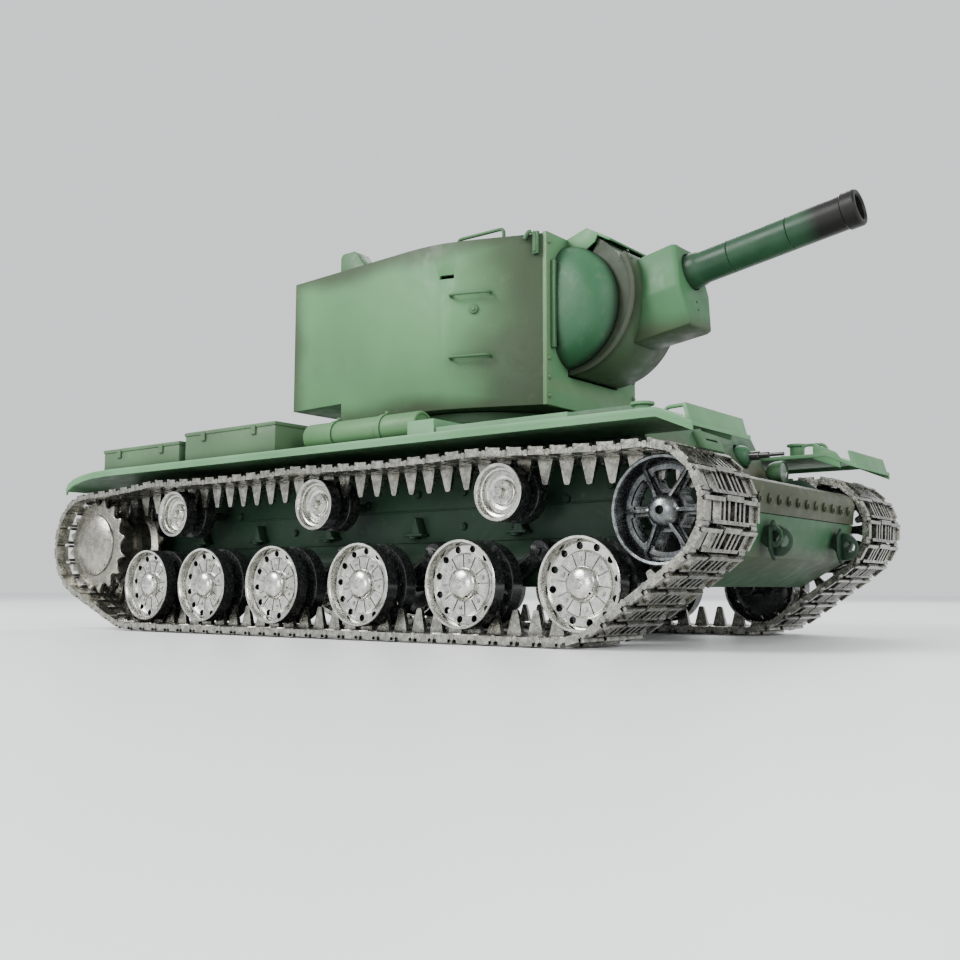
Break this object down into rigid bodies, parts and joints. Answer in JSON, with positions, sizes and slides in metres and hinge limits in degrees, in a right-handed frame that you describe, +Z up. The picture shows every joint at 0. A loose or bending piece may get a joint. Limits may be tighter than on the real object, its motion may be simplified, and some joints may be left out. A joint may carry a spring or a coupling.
{
  "type": "rc tank",
  "caption": "Radio-controlled scale model of a heavy tank with a tall turning turret, an elevating recoiling howitzer, sprung road wheels and driven tracks.",
  "frame": {"origin": "middle of the footprint of the whole model, on the plane that the tracks stand on", "axes": "+X forward, towards the muzzle; +Y to the tank's left; +Z up"},
  "size_m": [0.4226, 0.2074, 0.1985],
  "materials": {
    "hull_green": "satin",
    "turret_green": "matte",
    "cast_metal": "cast, dark washed",
    "dark_steel": "satin",
    "gloss_black": "gloss",
    "gun_green": "satin",
    "black_iron": "matte",
    "battery_blue": "satin",
    "board_green": "satin",
    "housing_grey": "matte"
  },
  "bodies": {
    "root": {"lower_hull": "hull_green", "upper_hull": "hull_green", "headlight": "hull_green", "fender_left": "hull_green", "fender_right": "hull_green", "stowage_box_rear_left": "hull_green", "stowage_box_rear_right": "hull_green", "stowage_box_middle_left": "hull_green", "stowage_box_middle_right": "hull_green", "fuel_drum_left": "hull_green", "fuel_drum_right": "hull_green", "track_left": "cast_metal", "track_right": "cast_metal", "battery": "battery_blue", "receiver_board": "board_green", "gearbox_left": "housing_grey", "gearbox_right": "housing_grey"},
    "turret": {"turret_shell": "turret_green", "turret_ring": "dark_steel", "periscope": "turret_green"},
    "turret_hatch": {"turret_hatch": "turret_green"},
    "rear_door": {"rear_door": "turret_green"},
    "rear_mg": {"rear_mg": "black_iron"},
    "hull_mg": {"hull_mg": "black_iron"},
    "gun_cradle": {"mantlet": "gun_green"},
    "gun_barrel": {"gun_barrel": "gun_green"},
    "sprocket_left": {"sprocket_left": "cast_metal"},
    "idler_left": {"idler_left": "dark_steel"},
    "return_roller_left_1": {"return_roller_left_1": "cast_metal"},
    "return_roller_left_2": {"return_roller_left_2": "cast_metal"},
    "return_roller_left_3": {"return_roller_left_3": "cast_metal"},
    "swing_arm_left_1": {"swing_arm_left_1": "gloss_black"},
    "road_wheel_left_1": {"road_wheel_left_1": "cast_metal"},
    "swing_arm_left_2": {"swing_arm_left_2": "gloss_black"},
    "road_wheel_left_2": {"road_wheel_left_2": "cast_metal"},
    "swing_arm_left_3": {"swing_arm_left_3": "gloss_black"},
    "road_wheel_left_3": {"road_wheel_left_3": "cast_metal"},
    "swing_arm_left_4": {"swing_arm_left_4": "gloss_black"},
    "road_wheel_left_4": {"road_wheel_left_4": "cast_metal"},
    "swing_arm_left_5": {"swing_arm_left_5": "gloss_black"},
    "road_wheel_left_5": {"road_wheel_left_5": "cast_metal"},
    "swing_arm_left_6": {"swing_arm_left_6": "gloss_black"},
    "road_wheel_left_6": {"road_wheel_left_6": "cast_metal"},
    "sprocket_right": {"sprocket_right": "cast_metal"},
    "idler_right": {"idler_right": "dark_steel"},
    "return_roller_right_1": {"return_roller_right_1": "cast_metal"},
    "return_roller_right_2": {"return_roller_right_2": "cast_metal"},
    "return_roller_right_3": {"return_roller_right_3": "cast_metal"},
    "swing_arm_right_1": {"swing_arm_right_1": "gloss_black"},
    "road_wheel_right_1": {"road_wheel_right_1": "cast_metal"},
    "swing_arm_right_2": {"swing_arm_right_2": "gloss_black"},
    "road_wheel_right_2": {"road_wheel_right_2": "cast_metal"},
    "swing_arm_right_3": {"swing_arm_right_3": "gloss_black"},
    "road_wheel_right_3": {"road_wheel_right_3": "cast_metal"},
    "swing_arm_right_4": {"swing_arm_right_4": "gloss_black"},
    "road_wheel_right_4": {"road_wheel_right_4": "cast_metal"},
    "swing_arm_right_5": {"swing_arm_right_5": "gloss_black"},
    "road_wheel_right_5": {"road_wheel_right_5": "cast_metal"},
    "swing_arm_right_6": {"swing_arm_right_6": "gloss_black"},
    "road_wheel_right_6": {"road_wheel_right_6": "cast_metal"}
  },
  "joints": [
    {"name": "turret_traverse", "type": "hinge", "parent": "root", "child": "turret", "pos_m": [0.0216, 0, 0.098], "axis": [0, 0, 1], "continuous": true},
    {"name": "gun_elevation", "type": "hinge", "parent": "turret", "child": "gun_cradle", "pos_m": [0.081, 0, 0.1551], "axis": [0, -1, 0], "range_deg": [-13, 8]},
    {"name": "gun_recoil", "type": "slide", "parent": "gun_cradle", "child": "gun_barrel", "axis": [0.9846, 0, 0.1749], "range_m": [-0.012, 0], "stiffness_N_per_m": 250, "springref_m": 0.012},
    {"name": "turret_hatch_hinge", "type": "hinge", "parent": "turret", "child": "turret_hatch", "pos_m": [-0.0228, 0.021, 0.1849], "axis": [0, -1, 0], "range_deg": [0, 100]},
    {"name": "rear_door_hinge", "type": "hinge", "parent": "turret", "child": "rear_door", "pos_m": [-0.0756, 0.0176, 0.142], "axis": [0, 0, -1], "range_deg": [0, 95]},
    {"name": "rear_mg_swing", "type": "hinge", "parent": "rear_door", "child": "rear_mg", "pos_m": [-0.0743, 0, 0.142], "axis": [0, 0, 1], "range_deg": [-8, 8]},
    {"name": "hull_mg_swing", "type": "hinge", "parent": "root", "child": "hull_mg", "pos_m": [0.13999, 0.033, 0.0832], "axis": [0, 0, 1], "range_deg": [-10, 10]},
    {"name": "sprocket_spin_left", "type": "hinge", "parent": "root", "child": "sprocket_left", "pos_m": [-0.1824, 0.081, 0.0454], "axis": [0, 1, 0], "continuous": true},
    {"name": "idler_spin_left", "type": "hinge", "parent": "root", "child": "idler_left", "pos_m": [0.1651, 0.081, 0.0502], "axis": [0, 1, 0], "continuous": true},
    {"name": "return_roller_spin_left_1", "type": "hinge", "parent": "root", "child": "return_roller_left_1", "pos_m": [-0.1199, 0.081, 0.0604], "axis": [0, 1, 0], "continuous": true},
    {"name": "return_roller_spin_left_2", "type": "hinge", "parent": "root", "child": "return_roller_left_2", "pos_m": [-0.0143, 0.081, 0.0604], "axis": [0, 1, 0], "continuous": true},
    {"name": "return_roller_spin_left_3", "type": "hinge", "parent": "root", "child": "return_roller_left_3", "pos_m": [0.0921, 0.081, 0.0604], "axis": [0, 1, 0], "continuous": true},
    {"name": "swing_arm_pivot_left_1", "type": "hinge", "parent": "root", "child": "swing_arm_left_1", "pos_m": [-0.1214, 0.056, 0.03774], "axis": [0, 1, 0], "range_deg": [0, 12], "stiffness_Nm_per_rad": 0.3, "springref_deg": -8.59},
    {"name": "road_wheel_spin_left_1", "type": "hinge", "parent": "swing_arm_left_1", "child": "road_wheel_left_1", "pos_m": [-0.1414, 0.081, 0.02374], "axis": [0, 1, 0], "continuous": true},
    {"name": "swing_arm_pivot_left_2", "type": "hinge", "parent": "root", "child": "swing_arm_left_2", "pos_m": [-0.0751, 0.056, 0.03774], "axis": [0, 1, 0], "range_deg": [0, 12], "stiffness_Nm_per_rad": 0.3, "springref_deg": -8.59},
    {"name": "road_wheel_spin_left_2", "type": "hinge", "parent": "swing_arm_left_2", "child": "road_wheel_left_2", "pos_m": [-0.0951, 0.081, 0.02374], "axis": [0, 1, 0], "continuous": true},
    {"name": "swing_arm_pivot_left_3", "type": "hinge", "parent": "root", "child": "swing_arm_left_3", "pos_m": [-0.0223, 0.056, 0.03774], "axis": [0, 1, 0], "range_deg": [0, 12], "stiffness_Nm_per_rad": 0.3, "springref_deg": -8.59},
    {"name": "road_wheel_spin_left_3", "type": "hinge", "parent": "swing_arm_left_3", "child": "road_wheel_left_3", "pos_m": [-0.0423, 0.081, 0.02374], "axis": [0, 1, 0], "continuous": true},
    {"name": "swing_arm_pivot_left_4", "type": "hinge", "parent": "root", "child": "swing_arm_left_4", "pos_m": [0.0346, 0.056, 0.03774], "axis": [0, 1, 0], "range_deg": [0, 12], "stiffness_Nm_per_rad": 0.3, "springref_deg": -8.59},
    {"name": "road_wheel_spin_left_4", "type": "hinge", "parent": "swing_arm_left_4", "child": "road_wheel_left_4", "pos_m": [0.0146, 0.081, 0.02374], "axis": [0, 1, 0], "continuous": true},
    {"name": "swing_arm_pivot_left_5", "type": "hinge", "parent": "root", "child": "swing_arm_left_5", "pos_m": [0.0927, 0.056, 0.03774], "axis": [0, 1, 0], "range_deg": [0, 12], "stiffness_Nm_per_rad": 0.3, "springref_deg": -8.59},
    {"name": "road_wheel_spin_left_5", "type": "hinge", "parent": "swing_arm_left_5", "child": "road_wheel_left_5", "pos_m": [0.0727, 0.081, 0.02374], "axis": [0, 1, 0], "continuous": true},
    {"name": "swing_arm_pivot_left_6", "type": "hinge", "parent": "root", "child": "swing_arm_left_6", "pos_m": [0.1503, 0.056, 0.03774], "axis": [0, 1, 0], "range_deg": [0, 12], "stiffness_Nm_per_rad": 0.3, "springref_deg": -8.59},
    {"name": "road_wheel_spin_left_6", "type": "hinge", "parent": "swing_arm_left_6", "child": "road_wheel_left_6", "pos_m": [0.1303, 0.081, 0.02374], "axis": [0, 1, 0], "continuous": true},
    {"name": "sprocket_spin_right", "type": "hinge", "parent": "root", "child": "sprocket_right", "pos_m": [-0.1824, -0.081, 0.0454], "axis": [0, 1, 0], "continuous": true},
    {"name": "idler_spin_right", "type": "hinge", "parent": "root", "child": "idler_right", "pos_m": [0.1651, -0.081, 0.0502], "axis": [0, 1, 0], "continuous": true},
    {"name": "return_roller_spin_right_1", "type": "hinge", "parent": "root", "child": "return_roller_right_1", "pos_m": [-0.1199, -0.081, 0.0604], "axis": [0, 1, 0], "continuous": true},
    {"name": "return_roller_spin_right_2", "type": "hinge", "parent": "root", "child": "return_roller_right_2", "pos_m": [-0.0143, -0.081, 0.0604], "axis": [0, 1, 0], "continuous": true},
    {"name": "return_roller_spin_right_3", "type": "hinge", "parent": "root", "child": "return_roller_right_3", "pos_m": [0.0921, -0.081, 0.0604], "axis": [0, 1, 0], "continuous": true},
    {"name": "swing_arm_pivot_right_1", "type": "hinge", "parent": "root", "child": "swing_arm_right_1", "pos_m": [-0.1214, -0.056, 0.03774], "axis": [0, 1, 0], "range_deg": [0, 12], "stiffness_Nm_per_rad": 0.3, "springref_deg": -8.59},
    {"name": "road_wheel_spin_right_1", "type": "hinge", "parent": "swing_arm_right_1", "child": "road_wheel_right_1", "pos_m": [-0.1414, -0.081, 0.02374], "axis": [0, 1, 0], "continuous": true},
    {"name": "swing_arm_pivot_right_2", "type": "hinge", "parent": "root", "child": "swing_arm_right_2", "pos_m": [-0.0751, -0.056, 0.03774], "axis": [0, 1, 0], "range_deg": [0, 12], "stiffness_Nm_per_rad": 0.3, "springref_deg": -8.59},
    {"name": "road_wheel_spin_right_2", "type": "hinge", "parent": "swing_arm_right_2", "child": "road_wheel_right_2", "pos_m": [-0.0951, -0.081, 0.02374], "axis": [0, 1, 0], "continuous": true},
    {"name": "swing_arm_pivot_right_3", "type": "hinge", "parent": "root", "child": "swing_arm_right_3", "pos_m": [-0.0223, -0.056, 0.03774], "axis": [0, 1, 0], "range_deg": [0, 12], "stiffness_Nm_per_rad": 0.3, "springref_deg": -8.59},
    {"name": "road_wheel_spin_right_3", "type": "hinge", "parent": "swing_arm_right_3", "child": "road_wheel_right_3", "pos_m": [-0.0423, -0.081, 0.02374], "axis": [0, 1, 0], "continuous": true},
    {"name": "swing_arm_pivot_right_4", "type": "hinge", "parent": "root", "child": "swing_arm_right_4", "pos_m": [0.0346, -0.056, 0.03774], "axis": [0, 1, 0], "range_deg": [0, 12], "stiffness_Nm_per_rad": 0.3, "springref_deg": -8.59},
    {"name": "road_wheel_spin_right_4", "type": "hinge", "parent": "swing_arm_right_4", "child": "road_wheel_right_4", "pos_m": [0.0146, -0.081, 0.02374], "axis": [0, 1, 0], "continuous": true},
    {"name": "swing_arm_pivot_right_5", "type": "hinge", "parent": "root", "child": "swing_arm_right_5", "pos_m": [0.0927, -0.056, 0.03774], "axis": [0, 1, 0], "range_deg": [0, 12], "stiffness_Nm_per_rad": 0.3, "springref_deg": -8.59},
    {"name": "road_wheel_spin_right_5", "type": "hinge", "parent": "swing_arm_right_5", "child": "road_wheel_right_5", "pos_m": [0.0727, -0.081, 0.02374], "axis": [0, 1, 0], "continuous": true},
    {"name": "swing_arm_pivot_right_6", "type": "hinge", "parent": "root", "child": "swing_arm_right_6", "pos_m": [0.1503, -0.056, 0.03774], "axis": [0, 1, 0], "range_deg": [0, 12], "stiffness_Nm_per_rad": 0.3, "springref_deg": -8.59},
    {"name": "road_wheel_spin_right_6", "type": "hinge", "parent": "swing_arm_right_6", "child": "road_wheel_right_6", "pos_m": [0.1303, -0.081, 0.02374], "axis": [0, 1, 0], "continuous": true}
  ],
  "couplings": [
    {"joint": "idler_spin_left", "follows": "sprocket_spin_left", "ratio": 1.1167},
    {"joint": "return_roller_spin_left_1", "follows": "sprocket_spin_left", "ratio": 2.1395},
    {"joint": "return_roller_spin_left_2", "follows": "sprocket_spin_left", "ratio": 2.1395},
    {"joint": "return_roller_spin_left_3", "follows": "sprocket_spin_left", "ratio": 2.1395},
    {"joint": "road_wheel_spin_left_1", "follows": "sprocket_spin_left", "ratio": 1.3807},
    {"joint": "road_wheel_spin_left_2", "follows": "sprocket_spin_left", "ratio": 1.3807},
    {"joint": "road_wheel_spin_left_3", "follows": "sprocket_spin_left", "ratio": 1.3807},
    {"joint": "road_wheel_spin_left_4", "follows": "sprocket_spin_left", "ratio": 1.3807},
    {"joint": "road_wheel_spin_left_5", "follows": "sprocket_spin_left", "ratio": 1.3807},
    {"joint": "road_wheel_spin_left_6", "follows": "sprocket_spin_left", "ratio": 1.3807},
    {"joint": "idler_spin_right", "follows": "sprocket_spin_right", "ratio": 1.1167},
    {"joint": "return_roller_spin_right_1", "follows": "sprocket_spin_right", "ratio": 2.1395},
    {"joint": "return_roller_spin_right_2", "follows": "sprocket_spin_right", "ratio": 2.1395},
    {"joint": "return_roller_spin_right_3", "follows": "sprocket_spin_right", "ratio": 2.1395},
    {"joint": "road_wheel_spin_right_1", "follows": "sprocket_spin_right", "ratio": 1.3807},
    {"joint": "road_wheel_spin_right_2", "follows": "sprocket_spin_right", "ratio": 1.3807},
    {"joint": "road_wheel_spin_right_3", "follows": "sprocket_spin_right", "ratio": 1.3807},
    {"joint": "road_wheel_spin_right_4", "follows": "sprocket_spin_right", "ratio": 1.3807},
    {"joint": "road_wheel_spin_right_5", "follows": "sprocket_spin_right", "ratio": 1.3807},
    {"joint": "road_wheel_spin_right_6", "follows": "sprocket_spin_right", "ratio": 1.3807}
  ]
}
